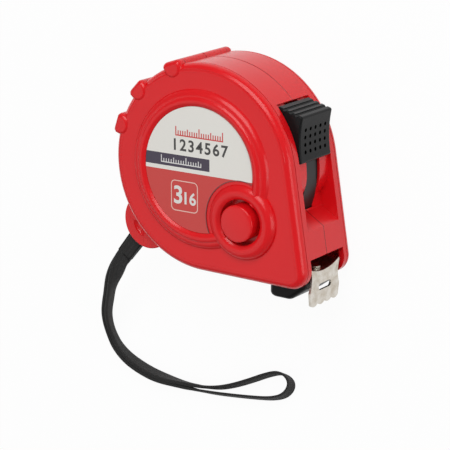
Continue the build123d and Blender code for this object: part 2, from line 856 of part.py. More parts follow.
# Rivets: one head on the hook's flange, one under the blade
upper_head_y = blade_top_y + hook_gap + hook_thickness + rivet_seat_gap
lower_head_y = blade_under_y - hook_gap
with BuildPart() as hook_rivets:
    for spot in rivet_spots:
        with BuildSketch(level_plane(spot, upper_head_y, 1)):
            Circle(rivet_head_radius)
        extrude(amount=rivet_head_height)
        with BuildSketch(level_plane(spot, upper_head_y, -1)):
            Circle(rivet_radius)
        extrude(amount=upper_head_y - lower_head_y)
        with BuildSketch(level_plane(spot, lower_head_y, -1)):
            Circle(rivet_head_radius)
        extrude(amount=rivet_head_height)
hook_rivets.part.label = "hook_rivets"
export_step(hook_rivets.part, "parts/hook_rivets.step")

# Blade wound on the drum
with BuildPart() as tape_coil:
    with BuildSketch(Plane.XY.offset(blade_low)):
        Circle(coil_radius)
        Circle(hub_radius + coil_gap, mode=Mode.SUBTRACT)
    extrude(amount=blade_width)
tape_coil.part.label = "tape_coil"
export_step(tape_coil.part, "parts/tape_coil.step")

# Drum: a cup with a flange, turning on the spindle
with BuildPart() as drum:
    with BuildSketch(Plane.XY.offset(drum_low)):
        Circle(hub_radius + drum_flange_width)
        Circle(spindle_radius + spindle_gap, mode=Mode.SUBTRACT)
    extrude(amount=drum_floor)
    with BuildSketch(Plane.XY.offset(drum_low)):
        Circle(hub_radius)
        Circle(hub_radius - hub_wall, mode=Mode.SUBTRACT)
    extrude(amount=drum_high - drum_low)
drum.part.label = "drum"
export_step(drum.part, "parts/drum.step")

# Cover over the drum, on its open side
with BuildPart() as drum_cover:
    with BuildSketch(Plane.XY.offset(drum_high)):
        Circle(hub_radius + cover_overlap)
        Circle(spindle_radius + spindle_gap, mode=Mode.SUBTRACT)
    extrude(amount=cover_thickness)
drum_cover.part.label = "drum_cover"
export_step(drum_cover.part, "parts/drum_cover.step")

# Mainspring: a strip wound out in half turns from the spindle to the drum's wall
spring_outer = hub_radius - hub_wall - spring_outer_gap
half_turns = 2 * spring_turns
spring_step = (spring_outer - spring_inner) / half_turns
with BuildPart() as mainspring:
    with BuildSketch(Plane.XY.offset(mid - spring_height / 2)):
        with BuildLine():
            tail = Line((0, -spring_tail_bend), (spring_inner - spring_tail_bend, -spring_tail_bend))
            JernArc(tail @ 1, (1, 0), spring_tail_bend, 90)
            for index in range(half_turns):
                turned = index % 2
                CenterArc((spring_step * turned, 0), spring_inner + index * spring_step, 180 * turned, 180)
        trace(line_width=spring_thickness)
    extrude(amount=spring_height)
mainspring.part.label = "mainspring"
export_step(mainspring.part, "parts/mainspring.step")

# Spindle between the two case halves, slotted for the end of the mainspring
with BuildPart() as spindle:
    with BuildSketch(Plane.XY.offset(inner_back + spindle_gap)):
        Circle(spindle_radius)
    extrude(amount=inner_label - inner_back - 2 * spindle_gap)
    with BuildSketch(Plane.XY.offset(mid - spring_height / 2 - spindle_slot)):
        with Locations((spindle_radius, -spring_tail_bend)):
            Rectangle(2 * (spindle_radius + spring_thickness), spindle_slot)
    extrude(amount=spring_height + 2 * spindle_slot, mode=Mode.SUBTRACT)
spindle.part.label = "spindle"
export_step(spindle.part, "parts/spindle.step")

# Case screws, with crossed slots in their heads
head_top = back_face + screw_head_depth - screw_head_height
with BuildPart() as case_screws:
    with BuildSketch(Plane.XY.offset(head_top)):
        with Locations(*screw_spots):
            Circle(screw_head_radius)
    extrude(amount=screw_head_height)
    with BuildSketch(Plane.XY.offset(head_top)):
        with Locations(*screw_spots):
            Circle(screw_radius)
    extrude(amount=screw_length)
    with BuildSketch(Plane.XY.offset(head_top)):
        with Locations(*screw_spots):
            Rectangle(cross_length, cross_width)
            Rectangle(cross_width, cross_length)
    extrude(amount=cross_depth, mode=Mode.SUBTRACT)
case_screws.part.label = "case_screws"
export_step(case_screws.part, "parts/case_screws.step")

# Peg that the strap's tab turns round, held in blind holes of the two ears
with BuildPart() as strap_peg:
    with BuildSketch(Plane.XY.offset(mid)):
        with Locations(peg_centre):
            Circle(peg_radius)
    extrude(amount=lug_slot / 2 + peg_depth - peg_gap, both=True)
strap_peg.part.label = "strap_peg"
export_step(strap_peg.part, "parts/strap_peg.step")

# Tab: the flat end of the strap, between the ears
tab_end = Vector(tab_end_x, tab_end_y)
tab_run = tab_end - peg_centre
with BuildPart() as strap_tab:
    with BuildSketch(Plane.XY.offset(mid)):
        with Locations(peg_centre):
            Circle(tab_width / 2)
        with Locations((peg_centre + tab_end) / 2):
            Rectangle(tab_run.length, tab_width, rotation=degrees(atan2(tab_run.Y, tab_run.X)))
        with Locations(peg_centre):
            Circle(peg_radius + peg_gap, mode=Mode.SUBTRACT)
    extrude(amount=tab_thickness / 2, both=True)
strap_tab.part.label = "strap_tab"
export_step(strap_tab.part, "parts/strap_tab.step")

# Neck: the doubled band, twisting from flat at the tab to standing on its edge on the table
band_level = band_width / 2
table_heading = (Vector(*doubled_points[1]) - Vector(*doubled_points[0])).normalized()
neck_end = Vector(*doubled_points[0], band_level) - table_heading * neck_gap
neck_route = [tab_end + Vector(0, 0, mid), *[Vector(*point) for point in neck_points], neck_end]
neck_headings = [after - before for before, after in zip(neck_route, neck_route[2:])]
with BuildPart() as strap_neck:
    for spot, heading in zip(neck_route, [tab_run, *neck_headings, table_heading]):
        ahead = heading.normalized()
        level = ahead.cross(Vector(0, 0, 1)).normalized()
        fallen = (mid - spot.Z) / (mid - band_level)
        across = level * cos(fallen * pi / 2) + level.cross(ahead) * sin(fallen * pi / 2)
        with BuildSketch(Plane(origin=spot, x_dir=across, z_dir=ahead)):
            Rectangle(tab_width + (band_width - tab_width) * fallen, ply_pitch + band_thickness)
    loft(ruled=True)
strap_neck.part.label = "strap_neck"
export_step(strap_neck.part, "parts/strap_neck.step")

# Wrist strap: the band on the table, out along one ply, round the loop and back along the other
band_route = [*ply_route(-ply_pitch / 2), *loop_points, *reversed(ply_route(ply_pitch / 2))]
with BuildPart() as wrist_strap:
    with BuildSketch():
        with BuildLine():
            FilletPolyline(*band_route, radius=bend_radii(band_route))
        trace(line_width=band_thickness)
    extrude(amount=band_width)
wrist_strap.part.label = "wrist_strap"
export_step(wrist_strap.part, "parts/wrist_strap.step")
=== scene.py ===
"""Looks of a pocket tape measure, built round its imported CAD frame.

The tape lies on its plain back with the label up. X is the way the blade runs out, Y is up when the
case is held, and Z points from the table to the label. All sizes are in metres unless a name ends in _mm.
"""

import json
import logging
import math
from contextlib import contextmanager
from dataclasses import dataclass
from enum import Enum
from typing import Callable, Iterator, Optional, Sequence, Union

import bpy
from mathutils import Matrix, Vector

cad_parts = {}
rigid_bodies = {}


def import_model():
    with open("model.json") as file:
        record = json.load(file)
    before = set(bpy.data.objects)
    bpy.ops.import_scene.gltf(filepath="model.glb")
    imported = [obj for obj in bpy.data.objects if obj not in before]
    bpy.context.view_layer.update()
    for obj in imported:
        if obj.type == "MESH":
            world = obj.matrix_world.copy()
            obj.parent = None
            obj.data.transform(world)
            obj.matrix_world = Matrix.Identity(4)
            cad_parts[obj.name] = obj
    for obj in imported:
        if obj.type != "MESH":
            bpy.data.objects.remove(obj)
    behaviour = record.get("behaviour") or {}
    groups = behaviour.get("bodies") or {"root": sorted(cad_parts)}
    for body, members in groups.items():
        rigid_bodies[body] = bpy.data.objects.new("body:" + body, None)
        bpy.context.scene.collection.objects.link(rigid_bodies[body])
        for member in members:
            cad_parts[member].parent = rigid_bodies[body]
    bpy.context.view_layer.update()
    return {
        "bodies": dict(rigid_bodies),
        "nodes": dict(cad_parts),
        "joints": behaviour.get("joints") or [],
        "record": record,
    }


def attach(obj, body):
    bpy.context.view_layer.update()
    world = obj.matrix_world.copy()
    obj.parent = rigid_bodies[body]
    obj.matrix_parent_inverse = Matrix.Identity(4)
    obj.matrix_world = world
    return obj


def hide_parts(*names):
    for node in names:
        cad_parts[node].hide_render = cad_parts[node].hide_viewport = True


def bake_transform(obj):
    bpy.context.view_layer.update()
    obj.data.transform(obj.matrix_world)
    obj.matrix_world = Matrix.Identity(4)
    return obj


Piece = bpy.types.Object
Material = bpy.types.Material
Output = bpy.types.NodeSocket
Socket = Union[float, Output]
Pair = tuple[float, float]
Triple = tuple[float, float, float]
Colour = Triple

LOG = logging.getLogger("tape_measure")
START_UP_OBJECTS = ("Cube", "Light", "Camera")
MM = 0.001
UP = Vector((0, 0, 1))
MIDDLE_MM = 15.25  # Z of the blade's middle, where the halves of the case meet
WELD_REACH = 0.002 * MM
SMOOTH_DEG = 32.0
SCALE_STEPS = (1, 5, 10)  # a scale's strokes are longer at each fifth and tenth
STROKES_BEFORE = 100.5  # whole pitches that keep a scale's phase above zero, and half a pitch
QUAD = ((0, 0), (0, 1), (1, 1), (1, 0))  # row and column steps round one face


class Body(Enum):
    """The rigid bodies that pieces are placed on by name."""

    CASE = "case"
    DRUM = "drum"
    BLADE_END = "blade_end"
    BUTTON = "button"


def select_only(piece: Piece) -> None:
    """Deselects everything, then selects piece and makes it active.

    Args:
        piece: the object to work on.
    """
    bpy.ops.object.select_all(action="DESELECT")
    bpy.context.view_layer.objects.active = piece
    piece.select_set(True)


@contextmanager
def editing(piece: Piece, action: Optional[str] = "SELECT") -> Iterator[None]:
    """Holds a piece in edit mode.

    Args:
        piece: the object to edit.
        action: what is done to the selection first, or None to keep it.

    Yields:
        Nothing, once edit mode is on.
    """
    select_only(piece)
    bpy.ops.object.mode_set(mode="EDIT")
    if action:
        bpy.ops.mesh.select_all(action=action)
    yield
    bpy.ops.object.mode_set(mode="OBJECT")


def add_object(name: str, data: bpy.types.ID) -> Piece:
    """Adds an object to the scene.

    Args:
        name: its name.
        data: its mesh, curve, lamp or camera.

    Returns:
        The object.
    """
    added = bpy.data.objects.new(name, data)
    bpy.context.collection.objects.link(added)
    return added


def apply_modifiers(piece: Piece) -> None:
    """Applies all modifiers of a piece, in order.

    Args:
        piece: the object to finish.
    """
    select_only(piece)
    for modifier in list(piece.modifiers):
        bpy.ops.object.modifier_apply(modifier=modifier.name)


def smooth_moulding(piece: Piece, angle_deg: float = SMOOTH_DEG) -> None:
    """Shades a piece smooth up to an angle and lets the large faces set the normals.

    Args:
        piece: the object to shade.
        angle_deg: edges sharper than this stay sharp.
    """
    select_only(piece)
    bpy.ops.object.shade_smooth_by_angle(angle=math.radians(angle_deg))
    weighted = piece.modifiers.new("even_normals", "WEIGHTED_NORMAL")
    weighted.keep_sharp = True
    weighted.mode = "FACE_AREA_WITH_ANGLE"
    apply_modifiers(piece)


def running_lengths(points: Sequence[Vector]) -> list[float]:
    """Length along a line up to each of its points.

    Args:
        points: the line.

    Returns:
        The lengths, from 0.
    """
    lengths = [0.0]
    for first, second in zip(points, points[1:]):
        lengths.append(lengths[-1] + (second - first).length)
    return lengths


def heading(points: Sequence[Vector], index: int) -> Vector:
    """The way a line runs at one of its points.

    Args:
        points: the line.
        index: which point.

    Returns:
        A unit vector.
    """
    return (points[min(index + 1, len(points) - 1)] - points[max(index - 1, 0)]).normalized()


class Shading:
    """The node graph of one material, with short calls for the nodes that the finishes use."""

    def __init__(self, name: str) -> None:
        """Starts a material with a principled shader.

        Args:
            name: the material's name.
        """
        self.material = bpy.data.materials.new(name)
        self.material.use_nodes = True
        self.tree = self.material.node_tree
        self.shader = self.tree.nodes["Principled BSDF"]
        self.coordinates = self.node("TexCoord").outputs

    def plug(self, socket: Output, value: object) -> None:
        """Sets a socket's value, or links another socket to it.

        Args:
            socket: the input.
            value: a number, a colour, or an output socket.
        """
        if isinstance(value, Output):
            self.tree.links.new(value, socket)
        else:
            socket.default_value = (*value, 1.0) if socket.type == "RGBA" else value

    def fill(self, node: bpy.types.Node, **inputs: object) -> None:
        """Plugs inputs of a node.

        Args:
            node: the node.
            inputs: values by the input's name, with underscores for its spaces.
        """
        for name, value in inputs.items():
            self.plug(node.inputs[name.replace("_", " ")], value)

    def set(self, **inputs: object) -> None:
        """Plugs inputs of the principled shader."""
        self.fill(self.shader, **inputs)

    def node(self, kind: str, **inputs: object) -> bpy.types.Node:
        """Adds a node.

        Args:
            kind: its type, without the prefix that all of them have.
            inputs: what is plugged into it.

        Returns:
            The node.
        """
        node = self.tree.nodes.new("ShaderNode" + kind)
        self.fill(node, **inputs)
        return node

    def maths(self, operation: str, first: Socket, second: Socket = 0.0) -> Output:
        """A maths node.

        Args:
            operation: the node's operation.
            first: its first input.
            second: its second input, where it has one.

        Returns:
            The node's output.
        """
        node = self.node("Math")
        node.operation = operation
        self.plug(node.inputs[0], first)
        self.plug(node.inputs[1], second)
        return node.outputs[0]

    def within(self, value: Socket, low: float, high: float) -> Output:
        """A mask that is 1 where value lies between low and high.

        Args:
            value: the value to test.
            low: lower end.
            high: upper end.

        Returns:
            The mask.
        """
        above = self.maths("GREATER_THAN", value, low)
        below = self.maths("LESS_THAN", value, high)
        return self.maths("MULTIPLY", above, below)

    def away(self, value: Socket, centre: float) -> Output:
        """How far a value is from a centre."""
        return self.maths("ABSOLUTE", self.maths("SUBTRACT", value, centre))

    def distance(self, first: Socket, second: Socket) -> Output:
        """Length of a line from its run along two axes."""
        squares = [self.maths("MULTIPLY", side, side) for side in (first, second)]
        return self.maths("SQRT", self.maths("ADD", *squares))

    def strokes(self, value: Socket, pitch: float, width: float) -> Output:
        """A mask of strokes, one at each whole pitch.

        Args:
            value: place across the strokes.
            pitch: from one stroke to the next.
            width: width of a stroke.

        Returns:
            The mask.
        """
        phase = self.maths("MODULO", self.maths("ADD", value, pitch * STROKES_BEFORE), pitch)
        return self.maths("LESS_THAN", self.away(phase, pitch / 2), width / 2)

    def axes_mm(self, turn_deg: float = 0.0) -> tuple[Output, ...]:
        """The three coordinates of a point, in millimetres.

        Args:
            turn_deg: how far the axes are turned about Z.

        Returns:
            The outputs for X, Y and Z.
        """
        turn = (0.0, 0.0, -math.radians(turn_deg))
        mapping = self.node("Mapping", Vector=self.coordinates["Object"], Scale=(1 / MM,) * 3, Rotation=turn)
        return tuple(self.node("SeparateXYZ", Vector=mapping.outputs[0]).outputs)

    def noise(self, grain_mm: float, detail: float = 3.0) -> Output:
        """Fractal noise of a given grain.

        Args:
            grain_mm: size of its grains.
            detail: octaves.

        Returns:
            The noise, about 0.5 in the middle.
        """
        scale = 1 / (grain_mm * MM)
        node = self.node("TexNoise", Vector=self.coordinates["Object"], Scale=scale, Detail=detail)
        return node.outputs["Fac"]

    def ramp(self, value: Socket, low: float, high: float) -> Output:
        """Maps 0 to 1 onto low to high.

        Args:
            value: the value to map.
            low: result at 0.
            high: result at 1.

        Returns:
            The mapped value.
        """
        return self.node("MapRange", Value=value, To_Min=low, To_Max=high).outputs["Result"]

    def blend(self, mask: Socket, under: object, over: object) -> Output:
        """Puts one colour over another where the mask is 1.

        Args:
            mask: where the upper colour shows.
            under: lower colour or socket.
            over: upper colour or socket.

        Returns:
            The mixed colour.
        """
        node = self.node("Mix")
        node.data_type = "RGBA"
        self.plug(node.inputs["Factor"], mask)
        for name, colour in (("A", under), ("B", over)):
            self.plug(next(s for s in node.inputs if s.name == name and s.type == "RGBA"), colour)
        return next(s for s in node.outputs if s.type == "RGBA")

    def bump(self, height: Socket, depth_mm: float) -> None:
        """Roughens the surface by a height map.

        Args:
            height: height from 0 to 1.
            depth_mm: what a height of 1 stands for.
        """
        node = self.node("Bump", Strength=1.0, Distance=depth_mm * MM, Height=height)
        self.set(Normal=node.outputs[0])


@dataclass(frozen=True)
class MouldedPlastic:
    """Injection-moulded plastic with a fine eroded grain and slight unevenness of colour and gloss."""

    name: str
    colour: Colour
    shade: Colour
    roughness: float
    specular: float = 0.5
    grain_mm: float = 0.22
    relief_mm: float = 0.005
    blotch_mm: float = 9.0
    wear_mm: float = 3.0
    wear: float = 0.03

    def paint(self, graph: Shading) -> Output:
        """The plastic's colour.

        Args:
            graph: the material's graph.

        Returns:
            The colour.
        """
        return graph.blend(graph.noise(self.blotch_mm, detail=2.0), self.colour, self.shade)

    def material(self) -> Material:
        """Builds the material."""
        graph = Shading(self.name)
        graph.set(Specular_IOR_Level=self.specular)
        graph.set(Base_Color=self.paint(graph))
        worn = graph.noise(self.wear_mm)
        graph.set(Roughness=graph.ramp(worn, self.roughness - self.wear, self.roughness + self.wear))
        graph.bump(graph.noise(self.grain_mm, detail=2.0), self.relief_mm)
        return graph.material


@dataclass(frozen=True)
class ShellPlastic(MouldedPlastic):
    """Plastic of the case, with painted shade: darker in the seam between its halves and in the creases of
    its rim.
    """

    # painted shade colour of the seam and the rim's creases
    dark: Colour = (0.32, 0.002, 0.004)
    seam_shade_mm: Pair = (-1.0, 0.2)
    crease_shade_mm: Pair = (10.9, 11.2)

    def paint(self, graph: Shading) -> Output:
        """The plastic's colour, with painted shade along its seam and creases.

        Args:
            graph: the material's graph.

        Returns:
            The colour.
        """
        _, _, z = graph.axes_mm()
        away = graph.away(z, MIDDLE_MM)
        # painted shade in the seam between the halves and in the rim's creases
        lines = graph.maths("MAXIMUM", graph.within(away, *self.seam_shade_mm), graph.within(away, *self.crease_shade_mm))
        return graph.blend(lines, super().paint(graph), self.dark)


@dataclass(frozen=True)
class DimpledPlastic(MouldedPlastic):
    """Plastic of the thumb lock, with painted shade inside the dimples of its front."""

    # painted shade colour inside the dimples
    dark: Colour = (0.002, 0.002, 0.002)
    dull: float = 0.02
    centre_mm: Pair = (11.57, MIDDLE_MM)
    pitch_mm: Pair = (2.2, 2.7)
    count: tuple[int, int] = (4, 5)
    shade_radius_mm: float = 0.6

    def dimples(self, graph: Shading) -> Output:
        """Mask of the painted shade in the dimples.

        Args:
            graph: the material's graph.

        Returns:
            1 inside a dimple and 0 elsewhere.
        """
        _, *sides = graph.axes_mm()
        mask: Socket = 1.0
        offsets = []
        for value, centre, pitch, count in zip(sides, self.centre_mm, self.pitch_mm, self.count):
            start = graph.maths("SUBTRACT", value, centre - pitch * count / 2)
            mask = graph.maths("MULTIPLY", graph.within(start, 0.0, pitch * count), mask)
            offsets.append(graph.maths("SUBTRACT", graph.maths("MODULO", start, pitch), pitch / 2))
        near = graph.maths("LESS_THAN", graph.distance(*offsets), self.shade_radius_mm)
        return graph.maths("MULTIPLY", near, mask)

    def paint(self, graph: Shading) -> Output:
        """The plastic's colour, with painted shade in its dimples, which shine less too.

        Args:
            graph: the material's graph.

        Returns:
            The colour.
        """
        mask = self.dimples(graph)
        graph.set(Specular_IOR_Level=graph.ramp(mask, self.specular, self.dull))
        # painted shade in the dimples
        return graph.blend(mask, super().paint(graph), self.dark)


@dataclass(frozen=True)
class Steel:
    """Plated or plain steel, brushed along one axis."""

    name: str
    colour: Colour
    roughness: float
    wear: Pair = (-0.07, 0.1)
    brush_mm: Triple = (0.15, 2.5, 2.5)
    relief_mm: float = 0.006
    tarnish: Colour = (0.72, 0.67, 0.6)
    tarnish_mm: float = 2.4
    tarnish_spread: Pair = (-1.0, 1.8)

    def material(self) -> Material:
        """Builds the material."""
        graph = Shading(self.name)
        scale = tuple(1 / (size * MM) for size in self.brush_mm)
        mapping = graph.node("Mapping", Vector=graph.coordinates["Object"], Scale=scale)
        lines = graph.node("TexNoise", Vector=mapping.outputs[0], Scale=1.0).outputs["Fac"]
        tarnish = graph.ramp(graph.noise(self.tarnish_mm), *self.tarnish_spread)
        dark = tuple(channel * share for channel, share in zip(self.colour, self.tarnish))
        graph.set(Base_Color=graph.blend(tarnish, self.colour, dark), Metallic=1.0)
        graph.set(Roughness=graph.ramp(lines, *(self.roughness + change for change in self.wear)))
        graph.bump(lines, self.relief_mm)
        return graph.material


@dataclass(frozen=True)
class RuledScale:
    """A printed scale: strokes on a base line, longer at each fifth and tenth."""

    reach_mm: Pair
    base_y_mm: float
    step_mm: float
    stroke_mm: float
    heights_mm: Triple
    ink: Colour

    def mask(self, graph: Shading, x: Socket, y: Socket) -> Output:
        """Where the scale's ink lies.

        Args:
            graph: the material's graph.
            x: X in millimetres.
            y: Y in millimetres.

        Returns:
            The mask.
        """
        start, end = self.reach_mm
        base, half_stroke = self.base_y_mm, self.stroke_mm / 2
        mask: Socket = graph.within(y, base - self.stroke_mm, base)
        along = graph.maths("SUBTRACT", x, start)
        for step, height in zip(SCALE_STEPS, self.heights_mm):
            stroke = graph.strokes(along, step * self.step_mm, self.stroke_mm)
            tall = graph.within(y, base, base + height)
            mask = graph.maths("MAXIMUM", mask, graph.maths("MULTIPLY", stroke, tall))
        return graph.maths("MULTIPLY", mask, graph.within(x, start - half_stroke, end + half_stroke))


@dataclass(frozen=True)
class PrintedLabel:
    """Label film: white above, red below, a dark band, ruled scales and a framed box."""

    name: str = "printed_label"
    turn_deg: float = 1.0
    white: Colour = (0.81, 0.795, 0.745)
    red: Colour = (0.61, 0.027, 0.021)
    band: Colour = (0.03, 0.018, 0.05)
    line: Colour = (0.82, 0.52, 0.45)
    rim: Colour = (0.2, 0.035, 0.035)
    mottle: Colour = (0.4, 0.38, 0.36)
    mottle_mm: float = 0.12
    mottle_share: float = 0.12
    roughness: Pair = (0.28, 0.4)
    grain_mm: float = 0.5
    relief_mm: float = 0.004
    split_y_mm: float = -1.25
    band_y_mm: Pair = (0.0, 3.75)
    band_end_mm: float = 4.1
    scales: tuple[RuledScale, ...] = (
        RuledScale((-8.0, 8.8), 10.0, 0.84, 0.4, (1.3, 1.9, 2.5), (0.62, 0.045, 0.04)),
        RuledScale((-13.4, 1.0), 1.15, 0.9, 0.3, (1.0, 1.5, 2.0), (0.74, 0.73, 0.72)),
    )
    box_centre_mm: Pair = (-5.05, -8.75)
    box_half_mm: Pair = (4.9, 4.75)
    box_corner_mm: float = 1.5
    box_line_mm: float = 0.3
    notch_centre_mm: Pair = (15.4, -13.45)
    notch_line_mm: Pair = (12.3, 12.6)

    def box(self, graph: Shading, x: Socket, y: Socket) -> Output:
        """Mask of the rounded box's outline.

        Args:
            graph: the material's graph.
            x: X in millimetres.
            y: Y in millimetres.

        Returns:
            The mask.
        """
        beyond = [
            graph.maths("SUBTRACT", graph.away(value, centre), half - self.box_corner_mm)
            for value, centre, half in zip((x, y), self.box_centre_mm, self.box_half_mm)
        ]
        corner = graph.distance(*[graph.maths("MAXIMUM", value, 0.0) for value in beyond])
        inside = graph.maths("MINIMUM", graph.maths("MAXIMUM", *beyond), 0.0)
        outside = graph.maths("SUBTRACT", graph.maths("ADD", corner, inside), self.box_corner_mm)
        return graph.within(outside, -self.box_line_mm, 0.0)

    def notch(self, graph: Shading) -> Output:
        """Mask of the dark line along the notch.

        Args:
            graph: the material's graph.

        Returns:
            The mask.
        """
        x, y, _ = graph.axes_mm()
        sides = [graph.maths("SUBTRACT", *run) for run in zip((x, y), self.notch_centre_mm)]
        return graph.within(graph.distance(*sides), *self.notch_line_mm)

    def material(self) -> Material:
        """Builds the material."""
        graph = Shading(self.name)
        x, y, _ = graph.axes_mm(self.turn_deg)
        colour = graph.blend(graph.maths("LESS_THAN", y, self.split_y_mm), self.white, self.red)
        short = graph.maths("LESS_THAN", x, self.band_end_mm)
        strip = graph.maths("MULTIPLY", graph.within(y, *self.band_y_mm), short)
        colour = graph.blend(strip, colour, self.band)
        for scale in self.scales:
            colour = graph.blend(scale.mask(graph, x, y), colour, scale.ink)
        colour = graph.blend(self.box(graph, x, y), colour, self.line)
        colour = graph.blend(self.notch(graph), colour, self.rim)
        mottle = graph.ramp(graph.noise(self.mottle_mm, detail=2.0), 0.0, self.mottle_share)
        colour = graph.blend(mottle, colour, self.mottle)
        graph.set(Base_Color=colour, Roughness=graph.ramp(graph.noise(2.0), *self.roughness))
        graph.bump(graph.noise(self.grain_mm, detail=2.0), self.relief_mm)
        return graph.material


@dataclass(frozen=True)
class BladeEnamel:
    """Blade enamel with plain graduations from both edges, repeating every centimetre."""

    name: str = "blade_enamel"
    colour: Colour = (0.82, 0.58, 0.04)
    worn: Colour = (0.7, 0.47, 0.035)
    ink: Colour = (0.03, 0.03, 0.03)
    roughness: Pair = (0.3, 0.46)
    blotch_mm: float = 6.0
    wear_mm: float = 1.2
    grain_mm: float = 0.3
    relief_mm: float = 0.004
    half_width_mm: float = 8.0
    tick_width_mm: float = 0.2
    tick_lengths_mm: Triple = (2.6, 4.0, 6.2)

    def material(self) -> Material:
        """Builds the material."""
        graph = Shading(self.name)
        x, _, z = graph.axes_mm()
        from_edge = graph.maths("SUBTRACT", self.half_width_mm, graph.away(z, MIDDLE_MM))
        mask: Socket = 0.0
        for pitch, length in zip(SCALE_STEPS, self.tick_lengths_mm):
            stroke = graph.strokes(x, pitch, self.tick_width_mm)
            reach = graph.maths("LESS_THAN", from_edge, length)
            mask = graph.maths("MAXIMUM", mask, graph.maths("MULTIPLY", stroke, reach))
        paint = graph.blend(graph.noise(self.blotch_mm), self.colour, self.worn)
        graph.set(Base_Color=graph.blend(mask, paint, self.ink))
        graph.set(Roughness=graph.ramp(graph.noise(self.wear_mm), *self.roughness))
        graph.bump(graph.noise(self.grain_mm, detail=2.0), self.relief_mm)
        return graph.material


@dataclass(frozen=True)
class WovenBand:
    """Flat woven band: cross ribs in rows, each row staggered against the next, with painted shade in the
    grooves between ribs and rows.
    """

    name: str = "woven_band"
    colour: Colour = (0.006, 0.006, 0.006)
    high: Colour = (0.019, 0.0185, 0.018)
    rib_mm: float = 0.62
    rows: float = 6.0
    row_fullness: float = 0.5
    fibre_mm: float = 0.09
    fibre_share: float = 0.5
    rib_shade_spread: Pair = (-0.1, 0.75)
    relief_mm: float = 0.11

    def material(self) -> Material:
        """Builds the material, which reads the length along the band and the place across it from UV."""
        graph = Shading(self.name)
        along, around, _ = graph.node("SeparateXYZ", Vector=graph.coordinates["UV"]).outputs
        across = graph.maths("MULTIPLY", around, 2 * self.rows)
        stagger = graph.maths("MULTIPLY", graph.maths("MODULO", graph.maths("FLOOR", across), 2.0), 0.5)
        turns = graph.maths("ADD", graph.maths("DIVIDE", along, self.rib_mm * MM), stagger)
        wave = graph.maths("SINE", graph.maths("MULTIPLY", turns, 2 * math.pi))
        rib = graph.maths("ADD", graph.maths("MULTIPLY", wave, 0.5), 0.5)
        bow = graph.maths("SINE", graph.maths("MULTIPLY", graph.maths("FRACT", across), math.pi))
        rib = graph.maths("MULTIPLY", rib, graph.maths("POWER", bow, self.row_fullness))
        fibre = graph.maths("MULTIPLY", graph.noise(self.fibre_mm, detail=2.0), self.fibre_share)
        height = graph.maths("ADD", rib, fibre)
        # painted shade: darker in the grooves between ribs and rows, lighter on the rib tops; the fibre noise
        # adds random tone too
        graph.set(Base_Color=graph.blend(graph.ramp(height, *self.rib_shade_spread), self.colour, self.high))
        graph.set(Roughness=0.82, Sheen_Weight=0.06, Sheen_Roughness=0.5)
        graph.bump(height, self.relief_mm)
        return graph.material


class Finishes:
    """The materials of the tape measure, made once and shared by its pieces."""

    def __init__(self) -> None:
        """Makes every material."""
        red, deep_red = (0.75, 0.007, 0.011), (0.71, 0.006, 0.01)
        self.red = ShellPlastic(
            "red_plastic", red, deep_red, roughness=0.24, specular=0.37, relief_mm=0.0015
        ).material()
        self.button = MouldedPlastic(
            "button_plastic", red, deep_red, roughness=0.2, specular=0.4, relief_mm=0.0015
        ).material()
        black, worn_black = (0.006, 0.006, 0.0065), (0.009, 0.009, 0.0095)
        self.lock = DimpledPlastic(
            "lock_plastic", black, worn_black, roughness=0.28, specular=0.13, grain_mm=0.3, relief_mm=0.008
        ).material()
        self.black = MouldedPlastic(
            "black_plastic", black, worn_black, roughness=0.32, specular=0.28, grain_mm=0.3, relief_mm=0.01
        ).material()
        rubber, worn_rubber = (0.004, 0.0034, 0.0037), (0.006, 0.0054, 0.0057)
        self.rubber = MouldedPlastic(
            "foot_rubber", rubber, worn_rubber, roughness=0.35, specular=0.15, grain_mm=0.35, relief_mm=0.01
        ).material()
        band, worn_band = (0.007, 0.007, 0.007), (0.01, 0.01, 0.01)
        self.welded = MouldedPlastic(
            "welded_band", band, worn_band, roughness=0.6, specular=0.17, grain_mm=0.3, relief_mm=0.03
        ).material()
        self.grey = MouldedPlastic("grey_plastic", (0.28, 0.28, 0.29), (0.24, 0.24, 0.25), 0.45).material()
        self.white_ink = MouldedPlastic("white_ink", (0.78, 0.77, 0.74), (0.72, 0.71, 0.68), 0.4).material()
        self.dark_ink = MouldedPlastic(
            "dark_ink", (0.045, 0.043, 0.042), (0.06, 0.058, 0.056), roughness=0.4
        ).material()
        self.nickel = Steel("nickel_plate", (0.69, 0.65, 0.59), 0.28).material()
        self.spring = Steel("spring_steel", (0.42, 0.43, 0.46), 0.34).material()
        self.label = PrintedLabel().material()
        self.blade = BladeEnamel().material()
        self.band = WovenBand().material()


